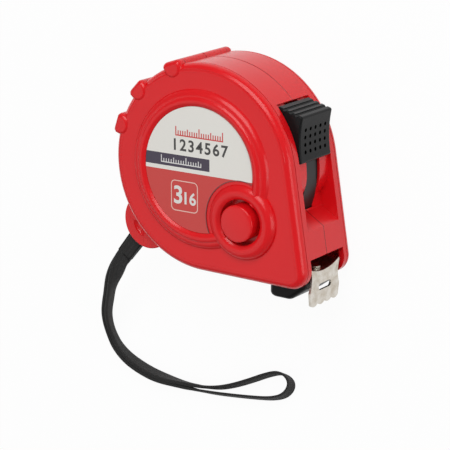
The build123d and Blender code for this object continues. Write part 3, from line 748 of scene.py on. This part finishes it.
class FramePiece:
    """A finished copy of a CAD node: welded, shaded smooth and dressed."""

    def __init__(self, frame: dict) -> None:
        """Keeps the frame and looks up each node's body and material slot.
        """
        self.nodes = frame["nodes"]
        record = frame["record"]
        self.body_of = {node: body for body, nodes in record["behaviour"]["bodies"].items() for node in nodes}
        self.slot_of = {part["node"]: part["material_slot"] for part in record["subparts"]}

    def copy(self, node: str, name: str) -> Piece:
        """Copies a node's mesh into a new piece, merges its loose triangles and clears their normals.

        Args:
            node: the CAD node.
            name: the new piece's name.

        Returns:
            The new piece.
        """
        piece = add_object(name, self.nodes[node].data.copy())
        with editing(piece):
            bpy.ops.mesh.remove_doubles(threshold=WELD_REACH)
        bpy.ops.mesh.customdata_custom_splitnormals_clear()
        return piece

    def settle(self, piece: Piece, node: str, material: Material) -> None:
        """Dresses a piece and lets it stand for its node.

        Args:
            piece: the finished piece.
            node: the node it stands for.
            material: its finish.
        """
        piece.data.materials.clear()
        piece.data.materials.append(material)
        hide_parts(node)
        LOG.info("%s stands for %s", piece.name, node)

    def finish(
        self,
        node: str,
        name: str,
        material: Material,
        angle_deg: float = SMOOTH_DEG,
        reshape: Optional[Callable[[Piece], None]] = None,
    ) -> None:
        """Copies, shades, dresses and rides one node.

        Args:
            node: the CAD node.
            name: the new piece's name.
            material: its finish.
            angle_deg: edges sharper than this stay sharp.
            reshape: what is done to the copy before it is shaded.
        """
        piece = self.copy(node, name)
        if reshape:
            reshape(piece)
        smooth_moulding(piece, angle_deg)
        self.settle(piece, node, material)
        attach(piece, self.body_of[node])


@dataclass
class SubAssembly:
    """A group of pieces that belong together, with what they are made from."""

    parts: FramePiece
    finishes: Finishes


@dataclass
class TapeBlade(SubAssembly):
    """The blade from the coil to the hook: flat at the coil, hollow from there on."""

    width: float = 16.0 * MM
    thickness: float = 0.15 * MM
    edge_y: float = -26.97 * MM
    sag: float = 1.6 * MM
    flat_y: float = -26.25 * MM
    flat_x: float = 1.0 * MM
    full_x: float = 9.5 * MM
    end_x: float = 34.9 * MM
    centre_z: float = MIDDLE_MM * MM
    stretch_from: float = 12.0 * MM
    stretch_to: float = 26.0 * MM
    rows: int = 34
    columns: int = 14
    smooth_deg: float = 40.0

    def height(self, x: float, across: float) -> float:
        """Height of the blade's middle layer.

        Args:
            x: place along the blade.
            across: place across it, from -1 to 1.

        Returns:
            Y of the layer.
        """
        share = min(max((x - self.flat_x) / (self.full_x - self.flat_x), 0.0), 1.0)
        hollow = self.edge_y - self.sag * (1 - across * across)
        return self.flat_y * (1 - share) + hollow * share

    def build(self) -> Piece:
        """Models the strip from a grid.

        Returns:
            The blade.
        """
        bpy.ops.object.select_all(action="DESELECT")
        bpy.ops.mesh.primitive_grid_add(x_subdivisions=self.rows, y_subdivisions=self.columns, size=2.0)
        blade = bpy.context.active_object
        blade.name = "graduated_blade"
        for vertex in blade.data.vertices:
            x = self.flat_x + (vertex.co.x + 1) / 2 * (self.end_x - self.flat_x)
            across = vertex.co.y
            vertex.co = (x, self.height(x, across), self.centre_z + across * self.width / 2)
        solid = blade.modifiers.new("steel", "SOLIDIFY")
        solid.thickness = self.thickness
        solid.offset = 0.0
        apply_modifiers(blade)
        smooth_moulding(blade, self.smooth_deg)
        return blade

    def dress(self) -> None:
        """Builds the blade and lets it stand for its CAD node."""
        blade = self.build()
        self.parts.settle(blade, "tape_blade", self.finishes.blade)
        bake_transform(blade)


@dataclass
class ButtonLeaf(SubAssembly):
    """The leaf spring under the button, which bends as the button goes down."""

    button: Pair = (15.4 * MM, -13.45 * MM)
    anchor: Pair = (26.5 * MM, -20.8 * MM)
    level: float = 26.15 * MM
    held_share: float = 0.22
    free_share: float = 0.36
    cuts: int = 12

    def dress(self) -> None:
        """Cuts the leaf across its length, between its anchor in the case and the button."""
        leaf = self.parts.copy("button_spring", "bending_leaf")
        start, end = Vector((*self.anchor, self.level)), Vector((*self.button, self.level))
        ahead = (end - start).normalized()
        with editing(leaf):
            for index in range(1, self.cuts):
                bpy.ops.mesh.select_all(action="SELECT")
                bpy.ops.mesh.bisect(plane_co=start.lerp(end, index / self.cuts), plane_no=ahead)
        smooth_moulding(leaf)
        self.parts.settle(leaf, "button_spring", self.finishes.spring)
        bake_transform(leaf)


@dataclass
class LabelNumerals:
    """A plain row of numerals printed on the label."""

    name: str
    text: str
    centre_mm: Pair
    height_mm: float
    ink: Material
    spread: float = 1.0
    boldness: float = 0.022
    text_depth: float = 0.002
    turn_deg: float = 1.0
    level: float = 30.2 * MM
    lift: float = 0.03 * MM

    def build(self) -> Piece:
        """Sets the numerals as text and makes them a thin mesh.

        Returns:
            The numerals.
        """
        bpy.ops.object.select_all(action="DESELECT")
        bpy.ops.object.text_add(location=(0, 0, 0))
        row = bpy.context.active_object
        row.name = self.name
        row.data.body = self.text
        row.data.space_character = self.spread
        row.data.offset = self.boldness
        row.data.extrude = self.text_depth
        bpy.ops.object.convert(target="MESH")
        low = [min(v.co[axis] for v in row.data.vertices) for axis in range(2)]
        high = [max(v.co[axis] for v in row.data.vertices) for axis in range(2)]
        scale = self.height_mm * MM / (high[1] - low[1])
        middle = Vector([(a + b) / 2 * scale for a, b in zip(low, high)])
        turn = math.radians(self.turn_deg)
        middle.rotate(Matrix.Rotation(turn, 2))
        row.scale = (scale, scale, self.lift / self.text_depth)
        row.rotation_euler.z = turn
        row.location = (*(Vector(self.centre_mm) * MM - middle), self.level)
        select_only(row)
        bpy.ops.object.transform_apply(location=True, rotation=True, scale=True)
        return row

    def dress(self) -> None:
        """Builds the numerals and rides them on the case."""
        row = self.build()
        row.data.materials.append(self.ink)
        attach(row, Body.CASE.value)
        LOG.info("%s is printed on the label", row.name)


@dataclass
class WristStrap(SubAssembly):
    """The woven strap: out of the lug round its tab, down to the table, round its loop and back."""

    width: float = 4.5 * MM
    outer_half: float = 0.45 * MM
    inner_half: float = 0.81 * MM
    ply_gap: float = 1.6 * MM
    loop_share: float = 0.62
    slim_run: Pair = (86.0 * MM, 93.0 * MM)
    tab_start_mm: Triple = (-31.44, -27.72, MIDDLE_MM)
    tab_end_mm: Triple = (-38.2, -36.4, MIDDLE_MM)
    tab_share: Pair = (0.88, 0.62)
    tab_bevel: float = 0.4 * MM
    tab_bevel_deg: float = 40.0
    tab_flat_deg: float = 1.0
    neck_mm: tuple[Triple, ...] = (
        (-40.9, -39.6, 14.5), (-44.9, -45.0, 12.2), (-48.5, -50.6, 9.6),
        (-51.4, -56.2, 7.0), (-53.6, -61.6, 4.9), (-54.2, -66.4, 3.1),
    )
    doubled_mm: tuple[Pair, ...] = (
        (-53.2, -70.4), (-51.0, -73.6), (-46.9, -76.8), (-40.7, -79.4),
        (-33.4, -81.0), (-25.8, -81.5), (-19.0, -81.3),
    )
    loop_mm: tuple[Pair, ...] = (
        (-11.5, -81.6), (-4.5, -80.8), (3.0, -79.8), (9.6, -78.7), (14.0, -77.0),
        (16.4, -74.4), (16.9, -71.7), (15.4, -69.7), (12.3, -69.1), (7.6, -71.0),
        (1.4, -74.3), (-5.6, -77.6), (-12.0, -79.7),
    )
    leans_deg: tuple[Pair, ...] = (
        (36.0 * MM, 10.0), (48.0 * MM, 21.0), (66.0 * MM, -3.0), (72.0 * MM, -3.0), (86.0 * MM, 20.0),
    )
    loop_lean_deg: float = 27.0
    twist_run: Pair = (9.0 * MM, 33.0 * MM)
    loop_run: Pair = (84.0 * MM, 98.0 * MM)
    flare: float = 1.14
    flare_run: Pair = (11.0 * MM, 24.0 * MM)
    route_order: int = 3
    route_steps: int = 14
    smooth_deg: float = 50.0
    profile: tuple[Pair, ...] = (
        (-1.0, 0.0), (-0.97, 0.55), (-0.88, 0.92), (-0.6, 1.0), (-0.3, 0.96),
        (0.0, 0.95), (0.3, 0.96), (0.6, 1.0), (0.88, 0.92), (0.97, 0.55),
    )

    @staticmethod
    def passed(place: float, run: Pair) -> float:
        """Share of a run that lies behind a place, eased at both ends.

        Args:
            place: length along the strap.
            run: where the run starts and ends.

        Returns:
            A share from 0 to 1.
        """
        share = min(max((place - run[0]) / (run[1] - run[0]), 0.0), 1.0)
        return share * share * (3 - 2 * share)

    def lean(self, place: float) -> float:
        """How far the band leans from upright on the table.

        Args:
            place: length along the strap from its nearer end.

        Returns:
            The lean in radians.
        """
        degrees = self.leans_deg[0][1]
        for (start, first), (end, last) in zip(self.leans_deg, self.leans_deg[1:]):
            degrees += (last - first) * self.passed(place, (start, end))
        return math.radians(degrees)

    def laid(self, points_mm: Sequence[Pair]) -> list[Vector]:
        """Points on the table, at the height of the leaning band's middle.

        Args:
            points_mm: their X and Y.

        Returns:
            The points, in the frame.
        """
        lean = math.radians(self.loop_lean_deg)
        level = math.cos(lean) * self.width / 2 + math.sin(lean) * self.inner_half * self.loop_share
        return [Vector((x * MM, y * MM, level)) for x, y in points_mm]

    def across(self, place: float, ahead: Vector, returning: bool) -> Vector:
        """The way the band's width points: level at the tab, leaning into its curve on the table.

        Args:
            place: length along the strap from its nearer end.
            ahead: the way the band runs there.
            returning: whether the band is on its way back to the tab.

        Returns:
            A unit vector.
        """
        turn = (math.pi / 2 + self.lean(place)) * self.passed(place, self.twist_run)
        level = ahead.cross(UP).normalized()
        upright = level.cross(ahead).normalized()
        doubled = level * (math.cos(turn) * (-1 if returning else 1)) + upright * math.sin(turn)
        loop_lean = math.radians(self.loop_lean_deg)
        hint = Vector((0, math.sin(loop_lean), math.cos(loop_lean)))
        looped = (hint - ahead * hint.dot(ahead)).normalized()
        return doubled.lerp(looped, self.passed(place, self.loop_run)).normalized()

    def route(self) -> list[Vector]:
        """Control points of the band: one ply out, the loop, the other ply back.

        Returns:
            The points, in the frame.
        """
        raised = (self.tab_start_mm, self.tab_end_mm, *self.neck_mm)
        middle = [*(Vector(point) * MM for point in raised), *self.laid(self.doubled_mm)]
        plies: tuple[list[Vector], list[Vector]] = ([], [])
        for index, place in enumerate(running_lengths(middle)):
            ahead = heading(middle, index)
            face = self.across(place, ahead, False).cross(ahead).normalized()
            flat = UP.cross(ahead).normalized()
            if face.dot(flat) < 0:
                flat.negate()
            twisted = self.passed(place, self.twist_run)
            spread = self.ply_gap / (1 - twisted + twisted * math.cos(self.lean(place)))
            side = face.lerp(flat, twisted).normalized() * (spread / 2)
            plies[0].append(middle[index] - side)
            plies[1].append(middle[index] + side)
        return [*plies[0], *self.laid(self.loop_mm), *reversed(plies[1])]

    def centreline(self) -> list[Vector]:
        """Points read from the route's smooth spline.

        Returns:
            The points, closely spaced.
        """
        curve = bpy.data.curves.new("strap_route", "CURVE")
        curve.dimensions = "3D"
        curve.resolution_u = self.route_steps
        spline = curve.splines.new("NURBS")
        points = self.route()
        spline.points.add(len(points) - 1)
        for control, point in zip(spline.points, points):
            control.co = (*point, 1.0)
        spline.order_u = self.route_order
        spline.use_endpoint_u = True
        holder = add_object("strap_route", curve)
        bpy.context.view_layer.update()
        line = bpy.data.meshes.new_from_object(holder)
        found = [vertex.co.copy() for vertex in line.vertices]
        bpy.data.objects.remove(holder)
        bpy.data.meshes.remove(line)
        return found

    def ring(self, point: Vector, ahead: Vector, place: float, returning: bool) -> list[Vector]:
        """The band's section at one point of its path, lifted where it would sink into the table.

        Args:
            point: the path's point.
            ahead: the way the band runs there.
            place: length along the strap from its nearer end.
            returning: whether the band is on its way back to the tab.

        Returns:
            The section's corners.
        """
        across = self.across(place, ahead, returning)
        out = across.cross(ahead).normalized()
        half_width = (self.flare + (1 - self.flare) * self.passed(place, self.flare_run)) * self.width / 2
        slim = 1 + (self.loop_share - 1) * self.passed(place, self.slim_run)
        corners = []
        for aside, depth in (*self.profile, *((-a, -d) for a, d in self.profile)):
            half_depth = (self.inner_half if depth > 0 else self.outer_half) * slim
            corners.append(point + across * (aside * half_width) + out * (depth * half_depth))
        sunk = min(min(corner.z for corner in corners), 0.0)
        return [corner - UP * sunk for corner in corners]

    def build(self, path: Sequence[Vector]) -> Piece:
        """Lays the band's section along the path.

        Args:
            path: the band's middle line.

        Returns:
            The strap, with a UV map of length along it and place round its section.
        """
        lengths = running_lengths(path)
        total = lengths[-1]
        vertices: list[Vector] = []
        for index, length in enumerate(lengths):
            place = min(length, total - length)
            vertices.extend(self.ring(path[index], heading(path, index), place, length > total / 2))
        rows = len(path) - 1
        count = len(vertices) // len(path)
        faces = [
            tuple((row + r) * count + (column + c) % count for r, c in QUAD)
            for row in range(rows)
            for column in range(count)
        ]
        faces.append(tuple(reversed(range(count))))
        faces.append(tuple(range(rows * count, len(vertices))))
        mesh = bpy.data.meshes.new("strap_band")
        mesh.from_pydata([tuple(vertex) for vertex in vertices], [], faces)
        layer = mesh.uv_layers.new(name="along_band")
        for polygon in mesh.polygons[: rows * count]:
            row, column = divmod(polygon.index, count)
            for loop, (r, c) in zip(polygon.loop_indices, QUAD):
                layer.data[loop].uv = (lengths[row + r], (column + c) / count)
        strap = add_object("strap_band", mesh)
        with editing(strap):
            bpy.ops.mesh.normals_make_consistent(inside=False)
        bpy.ops.object.shade_smooth_by_angle(angle=math.radians(self.smooth_deg))
        return strap

    def tab(self) -> Piece:
        """Shapes the tab between the plies from a slimmer copy of its CAD node.

        Returns:
            The tab.
        """
        tab = self.parts.copy("strap_tab", "strap_welded_end")
        start, end = (Vector(spot) * MM for spot in (self.tab_start_mm, self.tab_end_mm))
        ahead = (end - start).normalized()
        side = ahead.cross(UP)
        for vertex in tab.data.vertices:
            away = vertex.co - start
            along, aside = away.dot(ahead), away.dot(side)
            if along > 0:
                aside *= self.tab_share[0]
            vertex.co = start + ahead * along + side * aside + UP * (away.z * self.tab_share[1])
        with editing(tab):
            bpy.ops.mesh.dissolve_limited(angle_limit=math.radians(self.tab_flat_deg))
        edges = tab.modifiers.new("soft_edges", "BEVEL")
        edges.width = self.tab_bevel
        edges.segments = 3
        edges.limit_method = "ANGLE"
        edges.angle_limit = math.radians(self.tab_bevel_deg)
        apply_modifiers(tab)
        smooth_moulding(tab, self.smooth_deg)
        return tab

    def dress(self) -> None:
        path = self.centreline()
        strap = self.build(path)
        self.parts.settle(strap, "wrist_strap", self.finishes.band)
        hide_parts("strap_neck")
        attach(strap, Body.CASE.value)
        tab = self.tab()
        self.parts.settle(tab, "strap_tab", self.finishes.welded)
        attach(tab, Body.CASE.value)


@dataclass(frozen=True)
class SoftLamp:
    """A square soft lamp."""

    name: str
    place: Triple
    size: float
    power_w: float

    def hang(self, target: Vector) -> None:
        """Hangs the lamp so that it points at a target.

        Args:
            target: the point that it lights.
        """
        data = bpy.data.lights.new(self.name, "AREA")
        data.size = self.size
        data.energy = self.power_w
        lamp = add_object(self.name, data)
        lamp.location = self.place
        lamp.rotation_mode = "QUATERNION"
        lamp.rotation_quaternion = (target - Vector(self.place)).to_track_quat("-Z", "Y")


@dataclass
class Studio:
    """Pale floor, soft lamps and the camera at the photograph's angle."""

    floor_size: float = 14.0
    floor_colour: Colour = (0.86, 0.86, 0.86)
    floor_white: float = 0.95
    air_strength: float = 0.28
    lamps: tuple[SoftLamp, ...] = (
        SoftLamp("top_lamp", (-0.61, -0.33, 0.87), 0.9, 1.7),
        SoftLamp("front_lamp", (0.94, -0.04, 0.36), 0.5, 2.0),
        SoftLamp("key_lamp", (0.15, 0.75, 0.85), 0.78, 8.3),
    )
    camera_place: Triple = (0.3345, 0.1500, 0.51215)
    camera_target: Triple = (-0.00019, -0.0203, 0.01525)
    camera_up: Triple = (-0.1635, 0.9617, -0.2195)
    lens_mm: float = 163.26
    sensor_mm: float = 36.0

    def floor(self) -> None:
        """Lays a pale floor that keeps a soft shadow and reads as white to the camera and in reflections."""
        bpy.ops.object.select_all(action="DESELECT")
        bpy.ops.mesh.primitive_plane_add(size=self.floor_size, location=(0, 0, 0))
        floor = bpy.context.active_object
        floor.name = "pale_floor"
        graph = Shading("pale_floor")
        graph.set(Base_Color=self.floor_colour, Roughness=0.9, Specular_IOR_Level=0.1)
        path = graph.node("LightPath").outputs
        seen: Socket = path["Is Camera Ray"]
        for kind in ("Is Glossy Ray", "Is Transmission Ray"):
            seen = graph.maths("MAXIMUM", seen, path[kind])
        mix = graph.node("MixShader", Fac=graph.maths("MULTIPLY", seen, self.floor_white))
        graph.plug(mix.inputs[1], graph.shader.outputs[0])
        graph.plug(mix.inputs[2], graph.node("Emission").outputs[0])
        graph.fill(graph.tree.nodes["Material Output"], Surface=mix.outputs[0])
        floor.data.materials.append(graph.material)

    def light(self) -> None:
        """Hangs the lamps and sets the world's even light."""
        for lamp in self.lamps:
            lamp.hang(Vector(self.camera_target))
        world = bpy.data.worlds.new("studio_air")
        world.use_nodes = True
        background = world.node_tree.nodes["Background"]
        background.inputs["Color"].default_value = (1.0, 1.0, 1.0, 1.0)
        background.inputs["Strength"].default_value = self.air_strength
        bpy.context.scene.world = world

    def camera(self) -> None:
        """Stands the camera where the photograph was taken from."""
        data = bpy.data.cameras.new("photo_camera")
        data.lens = self.lens_mm
        data.sensor_width = self.sensor_mm
        camera = add_object("photo_camera", data)
        back = (Vector(self.camera_place) - Vector(self.camera_target)).normalized()
        right = Vector(self.camera_up).cross(back).normalized()
        turn = Matrix((right, back.cross(right), back)).transposed().to_4x4()
        camera.matrix_world = Matrix.Translation(self.camera_place) @ turn
        bpy.context.scene.camera = camera

    def build(self) -> None:
        """Builds the floor, the lamps and the camera."""
        self.floor()
        self.light()
        self.camera()
        bpy.context.scene.view_settings.view_transform = "Standard"


@dataclass
class CaseAndMechanism(SubAssembly):
    """The rigid pieces: finished copies of the CAD nodes, each with its own finish."""

    crease_floor: float = 13.57 * MM
    crease_reach: float = 0.02 * MM
    crease_rise: float = 0.15 * MM
    tail_reach: float = 2.0 * MM
    foot_smooth_deg: float = 55.0
    hook_smooth_deg: float = 25.0

    def fill_face_crease(self, shell: Piece) -> None:
        """Makes the crease round a shell's flat face as faint as the photograph shows it.

        Args:
            shell: a copy of one half of the case.
        """
        for vertex in shell.data.vertices:
            away = vertex.co.z - MIDDLE_MM * MM
            if abs(abs(away) - self.crease_floor) < self.crease_reach:
                vertex.co.z += math.copysign(self.crease_rise, away)

    def dress(self) -> None:
        """Finishes every rigid node."""
        look = self.finishes
        for node, name in (("label_side_case", "label_side_shell"), ("back_side_case", "back_side_shell")):
            self.parts.finish(node, name, look.red, reshape=self.fill_face_crease)
        for node, name, material, *angle in (
            ("label", "label_film", look.label),
            ("brake_button", "round_button", look.button),
            ("thumb_lock", "thumb_slider", look.lock),
            ("lock_arm", "lock_strip", look.black),
            ("bumper_foot", "rubber_foot", look.rubber, self.foot_smooth_deg),
            ("end_hook", "toothed_hook", look.nickel, self.hook_smooth_deg),
            ("hook_rivets", "rivet_pair", look.nickel),
            ("brake_pad", "brake_shoe", look.rubber),
            ("tape_coil", "wound_blade", look.blade),
            ("drum", "blade_drum", look.grey),
            ("drum_cover", "drum_plate", look.grey),
            ("spindle", "drum_spindle", look.grey),
            ("case_screws", "shell_screws", look.spring),
            ("strap_peg", "lug_peg", look.spring),
        ):
            self.parts.finish(node, name, material, *angle)
        self.spring()

    def spring(self) -> None:
        """Splits the mainspring where it meets the spindle, so that its tail stays in the spindle's slot."""
        wound = self.parts.copy("mainspring", "wound_spring")
        with editing(wound, "DESELECT"):
            bpy.ops.mesh.select_mode(type="VERT")
        for vertex in wound.data.vertices:
            vertex.select = vertex.co.xy.length < self.tail_reach
        with editing(wound, None):
            bpy.ops.mesh.select_more()
            bpy.ops.mesh.select_mode(type="FACE")
            bpy.ops.mesh.separate(type="SELECTED")
        tail = next(piece for piece in bpy.context.selected_objects if piece is not wound)
        tail.name = "spring_tail"
        for piece, body in ((wound, Body.DRUM), (tail, Body.CASE)):
            with editing(piece, "DESELECT"):
                bpy.ops.mesh.select_mode(type="EDGE")
                bpy.ops.mesh.select_non_manifold()
                bpy.ops.mesh.edge_face_add()
                bpy.ops.mesh.select_all(action="SELECT")
                bpy.ops.mesh.normals_make_consistent(inside=False)
            smooth_moulding(piece)
            self.parts.settle(piece, "mainspring", self.finishes.spring)
            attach(piece, body.value)


def main() -> None:
    """Builds the dressed tape measure."""
    logging.basicConfig(level=logging.INFO, format="%(name)s: %(message)s")
    for name in START_UP_OBJECTS:
        if name in bpy.data.objects:
            bpy.data.objects.remove(bpy.data.objects[name])
    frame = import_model()
    finishes = Finishes()
    parts = FramePiece(frame)
    Studio().build()
    for assembly in (WristStrap, CaseAndMechanism, TapeBlade, ButtonLeaf):
        assembly(parts, finishes).dress()
    for numerals in (
        LabelNumerals("blade_length_numeral", "3", (-7.2, -8.6), 5.6, finishes.white_ink),
        LabelNumerals("blade_width_numeral", "16", (-2.75, -9.25), 3.9, finishes.white_ink),
        LabelNumerals("scale_numerals", "1234567", (0.9, 6.95), 3.7, finishes.dark_ink, spread=1.22),
    ):
        numerals.dress()


if __name__ == "__main__":
    main()
